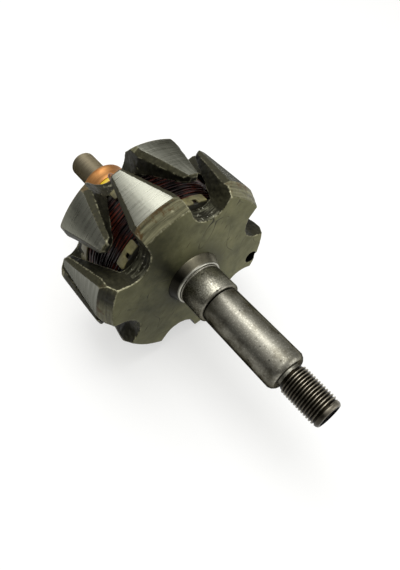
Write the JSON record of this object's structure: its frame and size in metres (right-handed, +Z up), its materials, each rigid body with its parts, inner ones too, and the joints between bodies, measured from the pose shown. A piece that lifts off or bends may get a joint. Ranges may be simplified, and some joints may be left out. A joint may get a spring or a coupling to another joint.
{
  "type": "alternator rotor",
  "caption": "Claw-pole alternator rotor: shaft with bearing and pulley seats and a threaded end, interleaved claw pole pieces around a field coil, copper slip rings behind.",
  "frame": {"origin": "on the shaft axis, at the shoulder that the front bearing sits against", "axes": "+X along the shaft towards the threaded pulley end, +Z up with the rotor lying on two neighbouring claws"},
  "size_m": [0.2112, 0.106, 0.106],
  "materials": {
    "turned_steel": "turned and ground, lightly worn",
    "spacer_steel": "turned, dulled",
    "forged_steel": "olive-grey forging skin, claws machined on the outside",
    "bobbin_nylon": "cream moulding, aged",
    "enamelled_copper": "dark red enamelled wire under varnish",
    "yellow_insulation": "yellow moulding",
    "ring_copper": "turned copper, brushed by the carbons",
    "lead_sleeve": "varnished woven sleeve, amber brown"
  },
  "bodies": {
    "root": {"shaft": "turned_steel", "bearing_spacer": "spacer_steel", "front_pole_piece": "forged_steel", "rear_pole_piece": "forged_steel", "bobbin": "bobbin_nylon", "field_coil": "enamelled_copper", "slip_ring_hub": "yellow_insulation", "front_slip_ring": "ring_copper", "rear_slip_ring": "ring_copper", "start_lead": "lead_sleeve", "end_lead": "lead_sleeve"}
  },
  "joints": []
}
